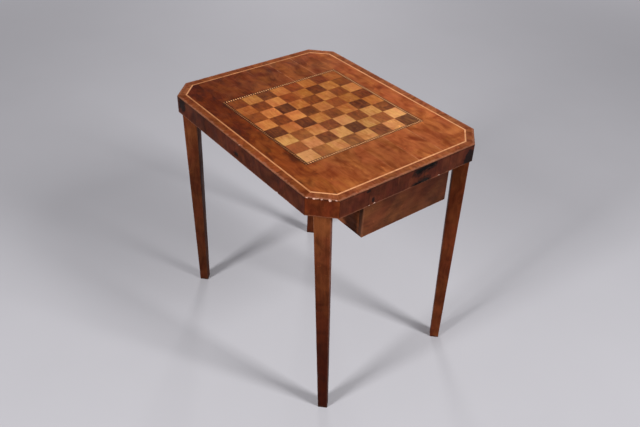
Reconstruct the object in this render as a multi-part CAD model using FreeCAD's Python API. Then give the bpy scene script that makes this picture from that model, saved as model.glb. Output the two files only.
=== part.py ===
import FreeCAD, Part
import math
import os

# Chess table with a veneered top, an inlaid board, canted corners and an underslung drawer.
# Millimetres. Origin on the floor under the middle of the top, +Z up, +X towards the drawer end,
# so that -Y is the left side of someone who faces the drawer.

# Overall table
table_height = 735.0
top_length = 738.0
top_width = 570.0
corner_cut = 59.0
frieze_height = 52.0

# Top board and its veneers
core_thickness = 18.0
veneer_thickness = 1.5
string_inset = 22.0
string_width = 4.5
edge_bevel = 1.0
field_leaf_width = 82.0
field_leaf_joint = 50.0
least_leaf_width = 30.0
band_leaf_length = 118.0
frieze_leaf_length = 96.0

# Inlaid board
squares_per_side = 8
square_size = 48.0
banding_line_width = 1.3
banding_block_width = 6.4
banding_block_length = 3.7

# Frieze frame under the top
rail_thickness = 22.0
block_reach = 50.0
glue_block_size = 22.0
glue_block_length = 64.0
glue_blocks_per_long_rail = 3
glue_blocks_per_short_rail = 2

# Legs
leg_top_width = 42.0
leg_foot_width = 27.0
leg_recess = 3.0
leg_splay_lengthwise = 15.5
leg_lean_crosswise = 5.5
loose_leg_splay = 12.0
leg_arris_bevel = 1.2
tenon_width = 20.0
tenon_length = 26.0
tenon_fit = 0.1
socket_depth_spare = 1.0

# Drawer
drawer_length = 420.0
drawer_side_space = 138.5
drawer_height = 95.0
drawer_recess = 5.0
drawer_headroom = 1.0
drawer_front_thickness = 14.0
drawer_side_thickness = 9.0
drawer_back_thickness = 9.0
drawer_bottom_thickness = 5.0
drawer_bottom_rise = 8.0
drawer_groove_depth = 4.5
drawer_front_bevel = 1.5
tongue_thickness = 5.0
tongue_length = 6.0
back_housing_depth = 4.0
back_setback = 12.0

# Drawer cleats and the grooved runners that carry them
cleat_width = 10.0
cleat_height = 12.0
cleat_drop = 1.0
cleat_setback = 30.0
runner_web = 12.0
runner_foot = 12.0
runner_setback = 44.0
runner_nose_bevel = 10.0
runner_side_gap = 0.8
cleat_seat_gap = 0.3
cleat_head_gap = 1.0
stop_length = 20.0
stop_gap = 0.4

# Screws and square cut nails
fastener_fit = 0.08
runner_screw_radius = 2.0
runner_screw_head_radius = 3.8
runner_screw_head_height = 2.4
runner_screw_bite = 10.0
runner_counterbore = 24.0
runner_counterbore_radius = 4.6
runner_screw_end_margin = 60.0
runner_screws_per_runner = 2
cleat_nail_shank = 1.8
cleat_nail_head = 3.6
cleat_nail_head_height = 1.2
cleat_nail_bite = 6.0
cleat_nail_end_margin = 24.0
cleat_nails_per_cleat = 4
bottom_nail_shank = 1.6
bottom_nail_head = 4.0
bottom_nail_head_height = 1.0
bottom_nail_bite = 12.0
bottom_nail_end_margin = 45.0
bottom_nails_per_row = 3

# Levels
top_level = table_height
veneer_base = top_level - veneer_thickness
core_base = veneer_base - core_thickness
frieze_base = top_level - frieze_height
drawer_top = frieze_base - drawer_headroom
drawer_base = drawer_top - drawer_height
cleat_top = drawer_top - cleat_drop
cleat_base = cleat_top - cleat_height
groove_base = cleat_base - cleat_seat_gap
groove_top = cleat_top + cleat_head_gap
runner_base = groove_base - runner_foot

# Places along the drawer and its runners
drawer_face = top_length / 2 - drawer_recess
drawer_inner_face = drawer_face - drawer_front_thickness
drawer_rear = drawer_face - drawer_length
cleat_front = drawer_inner_face - cleat_setback
runner_front = top_length / 2 - runner_setback
runner_rear = drawer_rear - stop_gap - stop_length

# Places across the drawer and its runners
drawer_width = top_width - 2 * drawer_side_space
drawer_half = drawer_width / 2
cleat_face = drawer_half + cleat_width
runner_inner = drawer_half + runner_side_gap
groove_bottom = cleat_face + runner_side_gap
runner_outer = groove_bottom + runner_web

# Half sizes of the inlaid board, from its squares out to the edge of its banding
squares_half = squares_per_side * square_size / 2
blocks_inner = squares_half + banding_line_width
blocks_outer = blocks_inner + banding_block_width
board_half = blocks_outer + banding_line_width

SIDES = ("drawer_end", "right", "far_end", "left")
CORNERS = {
    "drawer_left": (1, -1),
    "drawer_right": (1, 1),
    "far_left": (-1, -1),
    "far_right": (-1, 1),
}
LOOSE_LEG = "drawer_left"
UP = FreeCAD.Vector(0, 0, 1)


def export(node, shapes):
    """Write one node: a single solid, or several separate solids together."""
    solids = []
    for shape in shapes:
        solids.extend(shape.Solids)
    whole = solids[0] if len(solids) == 1 else Part.makeCompound(solids)
    whole.exportStep("parts/" + node + ".step")


def prism(points, low, high):
    """Upright prism on a plan outline."""
    turn = 0.0
    for (x0, y0), (x1, y1) in zip(points, points[1:] + points[:1]):
        turn += x0 * y1 - x1 * y0
    outline = points if turn > 0 else points[::-1]
    corners = [FreeCAD.Vector(x, y, low) for x, y in outline]
    wire = Part.makePolygon(corners + corners[:1])
    return Part.Face(wire).extrude(UP * (high - low))


def bar(x0, x1, y0, y1, z0, z1):
    """Plain rectangular bar between two opposite corners, given in any order."""
    low = FreeCAD.Vector(min(x0, x1), min(y0, y1), min(z0, z1))
    return Part.makeBox(abs(x1 - x0), abs(y1 - y0), abs(z1 - z0), low)


def table_outline(inset):
    """Eight plan points of the top's outline, moved in by an inset, from the drawer end round."""
    x = top_length / 2 - inset
    y = top_width / 2 - inset
    cut = corner_cut - inset * (2 - math.sqrt(2))
    return [
        (x, -y + cut), (x, y - cut), (x - cut, y), (-x + cut, y),
        (-x, y - cut), (-x, -y + cut), (-x + cut, -y), (x - cut, -y),
    ]


def edge_strip(place, outer_inset, inner_inset):
    """Mitred plan strip along one of the outline's eight edges, as (outer pair, inner pair)."""
    outer = table_outline(outer_inset)
    inner = table_outline(inner_inset)
    after = (place + 1) % len(outer)
    return (outer[place], outer[after]), (inner[place], inner[after])


def along(start, end, distance):
    """Plan point at a distance from start towards end."""
    length = math.dist(start, end)
    share = distance / length
    return (start[0] + share * (end[0] - start[0]), start[1] + share * (end[1] - start[1]))


def strip_leaves(strip, leaf_length):
    """Cut a mitred strip square across into leaves of about the given length."""
    outer, inner = strip
    run = math.dist(*outer)
    overlap = (run - math.dist(*inner)) / 2
    count = max(1, round(run / leaf_length))
    cuts = [run * step / count for step in range(1, count)]
    outer_points = [outer[0]] + [along(outer[0], outer[1], cut) for cut in cuts] + [outer[1]]
    inner_points = [inner[0]] + [along(inner[0], inner[1], cut - overlap) for cut in cuts] + [inner[1]]
    leaves = []
    for step in range(count):
        leaves.append([
            outer_points[step], outer_points[step + 1],
            inner_points[step + 1], inner_points[step],
        ])
    return leaves


def bevelled_leaf(points):
    """Crossbanding leaf whose outer top edge, between its first two points, is eased off."""
    leaf = prism(points, veneer_base, top_level)
    middle = FreeCAD.Vector(*along(points[0], points[1], math.dist(points[0], points[1]) / 2), top_level)
    edge = min(leaf.Edges, key=lambda line: (line.CenterOfMass - middle).Length)
    return leaf.makeChamfer(edge_bevel, [edge])


def make_top_core():
    """Solid board that carries every veneer of the top, with pilot holes for the runner screws."""
    core = prism(table_outline(veneer_thickness), core_base, veneer_base)
    return core.cut(Part.makeCompound(runner_screws(fastener_fit)))


def make_edge_bands():
    """Crossbanding and stringing round the edge of the top, by side, with the corners apart."""
    bands = {"crossbanding_corners": [], "stringing_corners": []}
    for place in range(8):
        cross = edge_strip(place, 0.0, string_inset)
        (start, end), (inner_start, inner_end) = edge_strip(place, string_inset, string_inset + string_width)
        string = prism([start, end, inner_end, inner_start], veneer_base, top_level)
        leaves = [bevelled_leaf(leaf) for leaf in strip_leaves(cross, band_leaf_length)]
        if place % 2:
            bands["crossbanding_corners"] += leaves
            bands["stringing_corners"].append(string)
        else:
            bands["crossbanding_" + SIDES[place // 2]] = leaves
            bands["stringing_" + SIDES[place // 2]] = [string]
    return bands


def make_field():
    """Leaves of the field veneer: one along each side of the board and several at each end."""
    field = prism(table_outline(string_inset + string_width), veneer_base, top_level)
    reach = max(top_length, top_width)
    joints = [-board_half]
    before = math.floor((field_leaf_joint + board_half) / field_leaf_width)
    position = field_leaf_joint - field_leaf_width * before
    while position < board_half - least_leaf_width:
        if position > -board_half + least_leaf_width:
            joints.append(position)
        position += field_leaf_width
    joints.append(board_half)
    leaves = {
        "field_veneer_left": [bar(-reach, reach, -reach, -board_half, veneer_base, top_level)],
        "field_veneer_right": [bar(-reach, reach, board_half, reach, veneer_base, top_level)],
        "field_veneer_drawer_end": [],
        "field_veneer_far_end": [],
    }
    for low, high in zip(joints, joints[1:]):
        leaves["field_veneer_drawer_end"].append(bar(board_half, reach, low, high, veneer_base, top_level))
        leaves["field_veneer_far_end"].append(bar(-reach, -board_half, low, high, veneer_base, top_level))
    return {node: [field.common(leaf) for leaf in parts] for node, parts in leaves.items()}


def make_squares():
    """Light and dark squares. The square at the drawer's left corner is light."""
    light = []
    dark = []
    for column in range(squares_per_side):
        for row in range(squares_per_side):
            x = squares_half - column * square_size
            y = -squares_half + row * square_size
            square = bar(x - square_size, x, y, y + square_size, veneer_base, top_level)
            (dark if (column + row) % 2 else light).append(square)
    return light, dark


def square_frame(inner_half, outer_half):
    """Four mitred strips round a square."""
    plan = [
        (inner_half, -inner_half), (outer_half, -outer_half),
        (outer_half, outer_half), (inner_half, inner_half),
    ]
    strips = []
    for quarter in range(4):
        strip = prism(plan, veneer_base, top_level)
        strip.rotate(FreeCAD.Vector(), UP, quarter * 90)
        strips.append(strip)
    return strips


def make_banding_blocks():
    """Chequered blocks of the banding. Each side's row ends against the next side's first block."""
    run = blocks_inner + blocks_outer
    pairs = round(run / (2 * banding_block_length))
    block_length = run / (2 * pairs)
    light = []
    dark = []
    for quarter in range(4):
        for step in range(2 * pairs):
            y = -blocks_outer + step * block_length
            block = bar(blocks_inner, blocks_outer, y, y + block_length, veneer_base, top_level)
            block.rotate(FreeCAD.Vector(), UP, quarter * 90)
            (dark if step % 2 else light).append(block)
    return light, dark


def make_frieze_veneers():
    """Upright veneers over the edge of the core, the rails and the corner blocks."""
    veneers = {}
    corner_names = ("drawer_right", "far_right", "far_left", "drawer_left")
    for place in range(8):
        strip = edge_strip(place, 0.0, veneer_thickness)
        leaves = [prism(leaf, frieze_base, veneer_base) for leaf in strip_leaves(strip, frieze_leaf_length)]
        if place % 2:
            veneers["corner_veneer_" + corner_names[place // 2]] = leaves
        else:
            veneers["frieze_veneer_" + SIDES[place // 2]] = leaves
    return veneers


def frame_reach():
    """Half length and half width inside the frieze veneer, with the half runs of the straight sides."""
    _, (x, run_y), (run_x, y), *_ = table_outline(veneer_thickness)
    return x, y, run_x, run_y


def make_rails():
    """Four rails under the core, each as long as the straight edge that it stands under."""
    x, y, run_x, run_y = frame_reach()
    return {
        "rail_drawer_end": bar(x - rail_thickness, x, -run_y, run_y, frieze_base, core_base),
        "rail_far_end": bar(-x, -x + rail_thickness, -run_y, run_y, frieze_base, core_base),
        "rail_left": bar(-run_x, run_x, -y, -y + rail_thickness, frieze_base, core_base),
        "rail_right": bar(-run_x, run_x, y - rail_thickness, y, frieze_base, core_base),
    }


def leg_axis(signs):
    """Plan point of the leg's top and the outward unit direction of its corner."""
    depth = leg_recess + leg_top_width / 2
    outward = FreeCAD.Vector(signs[0], signs[1], 0) / math.sqrt(2)
    middle_x = signs[0] * (top_length / 2 - corner_cut / 2)
    middle_y = signs[1] * (top_width / 2 - corner_cut / 2)
    return FreeCAD.Vector(middle_x, middle_y, 0) - outward * depth, outward


def turned_plan(centre, outward, corners):
    """Plan points at (outward, sideways) distances from a centre."""
    across = FreeCAD.Vector(-outward.y, outward.x, 0)
    places = [centre + outward * deep + across * wide for deep, wide in corners]
    return [(place.x, place.y) for place in places]


def square_corners(width):
    """Corners of a square about its middle."""
    half = width / 2
    return [(half, -half), (half, half), (-half, half), (-half, -half)]


def bevelled_corners(width, bevel):
    """Corners of a square about its middle with its own corners bevelled."""
    half = width / 2
    flat = half - bevel
    quarter = [(half, -flat), (half, flat), (flat, half), (-flat, half)]
    return quarter + [(-deep, -wide) for deep, wide in quarter]


def tapered_prism(low_plan, low, high_plan, high):
    """Solid between two like plan outlines whose matching sides are parallel, so that each face is flat."""
    foot = [FreeCAD.Vector(x, y, low) for x, y in low_plan]
    head = [FreeCAD.Vector(x, y, high) for x, y in high_plan]
    loops = [foot, head]
    for step in range(len(foot)):
        after = (step + 1) % len(foot)
        loops.append([foot[step], foot[after], head[after], head[step]])
    faces = [Part.Face(Part.makePolygon(loop + loop[:1])) for loop in loops]
    return Part.Solid(Part.Shell(faces))


def make_corner_block(signs):
    """Block behind a canted corner. It laps both rails and holds the leg's tenon in a socket."""
    x, y, run_x, run_y = frame_reach()
    plan = [
        (run_x, y), (x, run_y), (x - rail_thickness, run_y), (x - rail_thickness, run_y - block_reach),
        (run_x - block_reach, y - rail_thickness), (run_x, y - rail_thickness),
    ]
    block = prism([(signs[0] * px, signs[1] * py) for px, py in plan], frieze_base, core_base)
    axis, outward = leg_axis(signs)
    socket_plan = turned_plan(axis, outward, square_corners(tenon_width + 2 * tenon_fit))
    return block.cut(prism(socket_plan, frieze_base, frieze_base + tenon_length + socket_depth_spare))


def make_leg(corner):
    """Square tapered leg turned to face its corner, with a square tenon on top. One has worked loose."""
    signs = CORNERS[corner]
    axis, outward = leg_axis(signs)
    splay = leg_splay_lengthwise
    if corner == LOOSE_LEG:
        splay += loose_leg_splay
    foot = axis + FreeCAD.Vector(signs[0] * splay, -signs[1] * leg_lean_crosswise, 0)
    foot_plan = turned_plan(foot, outward, bevelled_corners(leg_foot_width, leg_arris_bevel))
    top_plan = turned_plan(axis, outward, bevelled_corners(leg_top_width, leg_arris_bevel))
    shaft = tapered_prism(foot_plan, 0.0, top_plan, frieze_base)
    tenon_plan = turned_plan(axis, outward, square_corners(tenon_width))
    return shaft.fuse(prism(tenon_plan, frieze_base, frieze_base + tenon_length))


def make_glue_blocks():
    """Three-cornered blocks rubbed into the angle between the rails and the core."""
    x = top_length / 2 - veneer_thickness - rail_thickness
    y = top_width / 2 - veneer_thickness - rail_thickness
    free_x = top_length / 2 - corner_cut - block_reach
    free_y = top_width / 2 - corner_cut - block_reach
    half = glue_block_length / 2
    profile = [
        FreeCAD.Vector(0, 0, core_base), FreeCAD.Vector(0, glue_block_size, core_base),
        FreeCAD.Vector(0, 0, core_base - glue_block_size),
    ]
    blocks = []
    runs = (
        (0, x, free_y, glue_blocks_per_short_rail), (90, y, free_x, glue_blocks_per_long_rail),
        (180, x, free_y, glue_blocks_per_short_rail), (270, y, free_x, glue_blocks_per_long_rail),
    )
    for turn, wall, free, count in runs:
        for step in range(count):
            middle = free * (2 * (step + 1) / (count + 1) - 1)
            face = Part.Face(Part.makePolygon(profile + profile[:1]))
            block = face.extrude(FreeCAD.Vector(glue_block_length, 0, 0))
            block.rotate(FreeCAD.Vector(), UP, 90)
            block.translate(FreeCAD.Vector(wall, middle - half, 0))
            block.rotate(FreeCAD.Vector(), UP, turn)
            blocks.append(block)
    return blocks


def wood_screw(head, direction, length, shank, head_radius, head_height, grow):
    """Countersunk screw from the middle of its head along a direction, or its hole when grown."""
    tip = 2 * shank
    outline = [
        (0, 0), (head_radius + grow, 0), (shank + grow, head_height + grow),
        (shank + grow, length - tip), (0, length + grow),
    ]
    corners = [FreeCAD.Vector(radius, 0, depth) for radius, depth in outline]
    face = Part.Face(Part.makePolygon(corners + corners[:1]))
    screw = face.revolve(FreeCAD.Vector(), UP, 360)
    screw.Placement = FreeCAD.Placement(head, FreeCAD.Rotation(UP, direction))
    return screw


def cut_nail(head, direction, length, shank, head_width, head_height, grow):
    """Square nail, tapered to half its width, from the middle of its flat head, or its hole when grown."""
    plate = prism(square_corners(head_width + 2 * grow), 0.0, head_height + grow)
    root = square_corners(shank + 2 * grow)
    point = square_corners(shank / 2 + 2 * grow)
    nail = plate.fuse(tapered_prism(root, head_height + grow, point, length + grow))
    nail.Placement = FreeCAD.Placement(head, FreeCAD.Rotation(UP, direction))
    return nail


def spread(low, high, count):
    """Evenly spaced places from low to high, both ends included."""
    return [low + (high - low) * step / (count - 1) for step in range(count)]


def runner_screw_places():
    """Plan points of the screws that hold both runners to the core."""
    places = []
    web_middle = groove_bottom + runner_web / 2
    rear = runner_rear + runner_screw_end_margin
    front = runner_front - runner_screw_end_margin
    for side in (-1, 1):
        for x in spread(rear, front, runner_screws_per_runner):
            places.append((x, side * web_middle))
    return places


def runner_screws(grow):
    """Screws up through the runners into the core, or their holes when grown."""
    length = core_base - runner_base - runner_counterbore + runner_screw_bite
    screws = []
    for x, y in runner_screw_places():
        head = FreeCAD.Vector(x, y, runner_base + runner_counterbore)
        screws.append(wood_screw(
            head, UP, length, runner_screw_radius, runner_screw_head_radius, runner_screw_head_height, grow))
    return screws


def make_runner(side):
    """Bar under the core with a groove for the drawer's cleat and a bevelled nose."""
    inner = side * runner_inner
    runner = bar(runner_rear, runner_front, inner, side * runner_outer, runner_base, core_base)
    groove = bar(runner_rear, runner_front, inner, side * groove_bottom, groove_base, groove_top)
    nose = [
        FreeCAD.Vector(runner_front, inner, runner_base),
        FreeCAD.Vector(runner_front - runner_nose_bevel, inner, runner_base),
        FreeCAD.Vector(runner_front, inner, runner_base + runner_nose_bevel),
    ]
    bevel = Part.Face(Part.makePolygon(nose + nose[:1])).extrude(
        FreeCAD.Vector(0, side * (runner_outer - runner_inner), 0))
    runner = runner.cut(groove).cut(bevel)
    for x, y in runner_screw_places():
        if y * side > 0:
            runner = runner.cut(Part.makeCylinder(
                runner_counterbore_radius, runner_counterbore, FreeCAD.Vector(x, y, runner_base), UP))
    return runner.cut(Part.makeCompound(runner_screws(fastener_fit)))


def make_stops():
    """Blocks glued in the far ends of both grooves, where the cleats come to rest."""
    stops = []
    for side in (-1, 1):
        stops.append(bar(
            runner_rear, runner_rear + stop_length, side * runner_inner, side * groove_bottom,
            groove_base, groove_top))
    return stops


def drawer_bottom_levels():
    """Lower and upper level of the drawer's bottom board."""
    low = drawer_base + drawer_bottom_rise
    return low, low + drawer_bottom_thickness


def make_drawer_front():
    """Front board with eased edges, grooved behind for the sides' tongues and the bottom."""
    front = bar(drawer_inner_face, drawer_face, -drawer_half, drawer_half, drawer_base, drawer_top)
    rim = [edge for edge in front.Edges if edge.BoundBox.XMin > drawer_face - drawer_front_thickness / 2]
    front = front.makeChamfer(drawer_front_bevel, rim)
    low, high = drawer_bottom_levels()
    inner = drawer_half - drawer_side_thickness
    for side in (-1, 1):
        front = front.cut(bar(
            drawer_inner_face, drawer_inner_face + tongue_length,
            side * inner, side * (inner + tongue_thickness), drawer_base, drawer_top))
    bottom_groove = bar(
        drawer_inner_face, drawer_inner_face + drawer_groove_depth, -inner, inner, low, high)
    return front.cut(bottom_groove)


def make_drawer_side(side):
    """Side board with a barefaced tongue in front, a groove for the bottom and a housing for the back."""
    inner = drawer_half - drawer_side_thickness
    board = bar(drawer_rear, drawer_inner_face, side * inner, side * drawer_half, drawer_base, drawer_top)
    tongue = bar(
        drawer_inner_face, drawer_inner_face + tongue_length,
        side * inner, side * (inner + tongue_thickness), drawer_base, drawer_top)
    low, high = drawer_bottom_levels()
    groove = bar(
        drawer_rear, drawer_inner_face + tongue_length,
        side * inner, side * (inner + drawer_groove_depth), low, high)
    back_rear = drawer_rear + back_setback
    housing = bar(
        back_rear, back_rear + drawer_back_thickness, side * inner, side * (inner + back_housing_depth),
        high, drawer_top)
    board = board.fuse(tongue).cut(groove).cut(housing)
    return board.cut(Part.makeCompound(cleat_nails(fastener_fit)))


def make_drawer_back():
    """Back board that stands on the bottom and is housed in both sides."""
    half = drawer_half - drawer_side_thickness + back_housing_depth
    rear = drawer_rear + back_setback
    _, high = drawer_bottom_levels()
    back = bar(rear, rear + drawer_back_thickness, -half, half, high, drawer_top)
    return back.cut(Part.makeCompound(bottom_nails(fastener_fit)))


def make_drawer_bottom():
    """Thin board in the grooves of the front and sides, nailed up into the back."""
    half = drawer_half - drawer_side_thickness + drawer_groove_depth
    inner = drawer_half - drawer_side_thickness
    low, high = drawer_bottom_levels()
    bottom = bar(drawer_rear + back_setback, drawer_inner_face, -half, half, low, high)
    lip = bar(drawer_inner_face, drawer_inner_face + drawer_groove_depth, -inner, inner, low, high)
    return bottom.fuse(lip).removeSplitter().cut(Part.makeCompound(bottom_nails(fastener_fit)))


def bottom_nails(grow):
    """Nails up through the bottom into the lower edge of the back, or their holes when grown."""
    low, high = drawer_bottom_levels()
    length = high - low + bottom_nail_bite
    x = drawer_rear + back_setback + drawer_back_thickness / 2
    end = drawer_half - bottom_nail_end_margin
    nails = []
    for y in spread(-end, end, bottom_nails_per_row):
        head = FreeCAD.Vector(x, y, low)
        nails.append(cut_nail(
            head, UP, length, bottom_nail_shank, bottom_nail_head, bottom_nail_head_height, grow))
    return nails


def make_cleat(side):
    """Strip along the top of a drawer side. It rides in the runner's groove."""
    cleat = bar(drawer_rear, cleat_front, side * drawer_half, side * cleat_face, cleat_base, cleat_top)
    return cleat.cut(Part.makeCompound(cleat_nails(fastener_fit)))


def cleat_nails(grow):
    """Nails through the cleats into the drawer sides, or their holes when grown."""
    level = (cleat_base + cleat_top) / 2
    length = cleat_width + cleat_nail_bite
    rear = drawer_rear + cleat_nail_end_margin
    front = cleat_front - cleat_nail_end_margin
    nails = []
    for side in (-1, 1):
        inward = FreeCAD.Vector(0, -side, 0)
        for x in spread(rear, front, cleat_nails_per_cleat):
            head = FreeCAD.Vector(x, side * cleat_face, level)
            nails.append(cut_nail(
                head, inward, length, cleat_nail_shank, cleat_nail_head, cleat_nail_head_height, grow))
    return nails


def make_table():
    """Every piece of the table by its name, each a list of separate solids."""
    light_squares, dark_squares = make_squares()
    light_blocks, dark_blocks = make_banding_blocks()
    pieces = {
        "top_core": [make_top_core()],
        "light_squares": light_squares,
        "dark_squares": dark_squares,
        "banding_inner_line": square_frame(squares_half, blocks_inner),
        "banding_outer_line": square_frame(blocks_outer, board_half),
        "banding_light_blocks": light_blocks,
        "banding_dark_blocks": dark_blocks,
        "glue_blocks": make_glue_blocks(),
        "runner_left": [make_runner(-1)],
        "runner_right": [make_runner(1)],
        "runner_screws": runner_screws(0.0),
        "drawer_stops": make_stops(),
        "drawer_front": [make_drawer_front()],
        "drawer_left_side": [make_drawer_side(-1)],
        "drawer_right_side": [make_drawer_side(1)],
        "drawer_back": [make_drawer_back()],
        "drawer_bottom": [make_drawer_bottom()],
        "drawer_bottom_nails": bottom_nails(0.0),
        "drawer_left_cleat": [make_cleat(-1)],
        "drawer_right_cleat": [make_cleat(1)],
        "drawer_cleat_nails": cleat_nails(0.0),
    }
    pieces.update(make_edge_bands())
    pieces.update(make_field())
    pieces.update(make_frieze_veneers())
    pieces.update({name: [rail] for name, rail in make_rails().items()})
    for corner, signs in CORNERS.items():
        pieces["corner_block_" + corner] = [make_corner_block(signs)]
        pieces["leg_" + corner] = [make_leg(corner)]
    return pieces


os.makedirs("parts", exist_ok=True)
for node, shapes in make_table().items():
    export(node, shapes)
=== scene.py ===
import math
import random

import bpy
from mathutils import Matrix, Vector


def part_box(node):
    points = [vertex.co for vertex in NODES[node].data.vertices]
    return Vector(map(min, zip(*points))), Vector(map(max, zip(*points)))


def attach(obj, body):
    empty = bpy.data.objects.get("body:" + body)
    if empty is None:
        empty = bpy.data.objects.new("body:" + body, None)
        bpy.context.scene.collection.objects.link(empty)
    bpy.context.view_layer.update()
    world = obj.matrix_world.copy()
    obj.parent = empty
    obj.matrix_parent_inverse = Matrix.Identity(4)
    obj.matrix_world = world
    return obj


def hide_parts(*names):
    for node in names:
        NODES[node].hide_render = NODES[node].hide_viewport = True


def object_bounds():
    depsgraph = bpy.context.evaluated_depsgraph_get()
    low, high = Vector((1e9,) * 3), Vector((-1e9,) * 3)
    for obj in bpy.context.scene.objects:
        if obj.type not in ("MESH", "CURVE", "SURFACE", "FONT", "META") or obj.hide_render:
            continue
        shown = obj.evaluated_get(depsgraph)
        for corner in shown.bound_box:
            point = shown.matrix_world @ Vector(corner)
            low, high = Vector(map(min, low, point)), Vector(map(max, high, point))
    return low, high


bl_info = {
    "name": "Inlaid Chess Table",
    "version": (1, 0, 0),
    "blender": (4, 5, 0),
    "location": "View3D > Sidebar > Chess Table",
    "description": "Worn veneers, inlaid board, tapered legs and drawer of a chess table, with its studio",
    "category": "Object",
}

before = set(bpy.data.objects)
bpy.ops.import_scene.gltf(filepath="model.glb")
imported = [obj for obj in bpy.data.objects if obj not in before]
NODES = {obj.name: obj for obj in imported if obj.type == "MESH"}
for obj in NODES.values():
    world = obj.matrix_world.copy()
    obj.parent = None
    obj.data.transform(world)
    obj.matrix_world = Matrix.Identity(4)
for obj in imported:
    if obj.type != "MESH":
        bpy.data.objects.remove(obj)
CAD_BOX = [list(corner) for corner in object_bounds()]

# Levels and outline of the table, read from its solids, and the squares along one side of its board
TOP_LEVEL = CAD_BOX[1][2]
HALF_LENGTH = CAD_BOX[1][0]
HALF_WIDTH = CAD_BOX[1][1]
VENEER_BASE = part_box("light_squares")[0].z
FRIEZE_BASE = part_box("frieze_veneer_left")[0].z
VENEER = TOP_LEVEL - VENEER_BASE
CORNER_CUT = HALF_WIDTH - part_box("crossbanding_drawer_end")[1].y
BAND_WIDTH = HALF_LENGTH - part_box("crossbanding_drawer_end")[0].x
STRING_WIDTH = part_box("stringing_drawer_end")[1].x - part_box("stringing_drawer_end")[0].x
SQUARES_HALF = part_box("light_squares")[1].x
SQUARES = 8
SQUARE = 2 * SQUARES_HALF / SQUARES
BOARD_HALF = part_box("banding_outer_line")[1].x
DRAWER_LOW, DRAWER_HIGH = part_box("drawer_front")
TENON_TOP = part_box("leg_drawer_right")[1].z

# Edges of the top: turn of each edge, its middle and its length
END_RUN = 2 * (HALF_WIDTH - CORNER_CUT)
SIDE_RUN = 2 * (HALF_LENGTH - CORNER_CUT)
CANT_RUN = CORNER_CUT * math.sqrt(2)
CANT_X = HALF_LENGTH - CORNER_CUT / 2
CANT_Y = HALF_WIDTH - CORNER_CUT / 2
EDGES = {
    "left": (0, (0, -HALF_WIDTH), SIDE_RUN),
    "drawer_left": (45, (CANT_X, -CANT_Y), CANT_RUN),
    "drawer_end": (90, (HALF_LENGTH, 0), END_RUN),
    "drawer_right": (135, (CANT_X, CANT_Y), CANT_RUN),
    "right": (180, (0, HALF_WIDTH), SIDE_RUN),
    "far_right": (225, (-CANT_X, CANT_Y), CANT_RUN),
    "far_end": (270, (-HALF_LENGTH, 0), END_RUN),
    "far_left": (315, (-CANT_X, -CANT_Y), CANT_RUN),
}
SIDES = ("left", "drawer_end", "right", "far_end")
QUARTERS = {"drawer_left": (1, -1), "drawer_right": (1, 1), "far_right": (-1, 1), "far_left": (-1, -1)}
CORNERS = tuple(QUARTERS)
LOOSE_LEG = "drawer_left"

# Lengths of veneer leaves and places of their joints
BAND_LEAF = 0.118
FRIEZE_LEAF = 0.096
FIELD_LEAF = 0.082
FIELD_JOINT = 0.050
FIRST_FIELD_LEAF = 0.008 - BOARD_HALF

# Scatter of tone among the leaves of the field, and the numbers that choose the draws
FIELD_END_SPREAD = 0.13
FIELD_SIDE_SPREAD = 0.02
FIELD_SEED = 373
HUE_SEED = 100

# Figure of the woods: how far streaks and fibres are drawn out along the grain, how far apart the
# leaves are taken from the figure, how dark the pores are, and sizes of patches and scuffs
STREAK_DRAW = 16
FIBRE_DRAW = 34
FAR_OFF = 9.0
PORE_SHADE = 0.22
PATINA_SIZE = 0.05
AGE_PATCH = 0.16
SCUFF_SIZE = 0.05
RAGGED_SIZE = 0.009

# Wax in the joints of the field: it fades between two places across the table, to its least strength
WAX_FADE = (-0.06, 0.04)
WAX_LEAST = 0.10

# Banding: cells of one tone lie on a slant, and dirt thickens between two distances off its middle
CELL_SLANT = 1.7
CELLS_PER_METRE = 260.0
BANDING_DIRT = (0.0014, 0.0030)

# Painted light and shade, as tints: a piece is made lighter where more light falls on it and darker
# where it lies in shade. A side's two tints are at its drawer end and far end, an end's are at its left
# and right, the board's are at its far part and its drawer end, a leg's are at its foot and head, and
# the drawer front's are at its right and its lower left. Other pieces have one.
UNTINTED = (1.0, 1.0, 1.0)
FIELD_LIGHT_AND_SHADE = {
    "left": ((0.68, 0.55, 0.32), (0.36, 0.19, 0.08)),
    "drawer_end": ((0.93, 0.92, 0.82), (1.16, 1.19, 1.12)),
    "right": ((1.22, 1.17, 1.11), (1.01, 0.96, 0.92)),
    "far_end": ((0.45, 0.31, 0.20), (0.92, 0.87, 0.78)),
}

# Where the painted light and shade of the left and the drawer end of the field come to one tone at
# the corner between them: axis, start and end of the change along it, and tint at its end
FIELD_CORNER_LIGHT_AND_SHADE = {
    "left": (0, 0.150, 0.330, (1.26, 1.50, 1.90)),
    "drawer_end": (1, -0.120, -0.200, (0.90, 0.84, 0.74)),
}

# Strength of dark blotches in the field, their tint and their lengths along X, Y and Z
FIELD_BLOTCHES = {"left": 1.0, "drawer_end": 0.25, "right": 0.25, "far_end": 0.6}
BLOTCH_TINT = (0.50, 0.50, 0.56)
BLOTCH_SIZE = (0.060, 0.030, 0.030)
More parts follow.
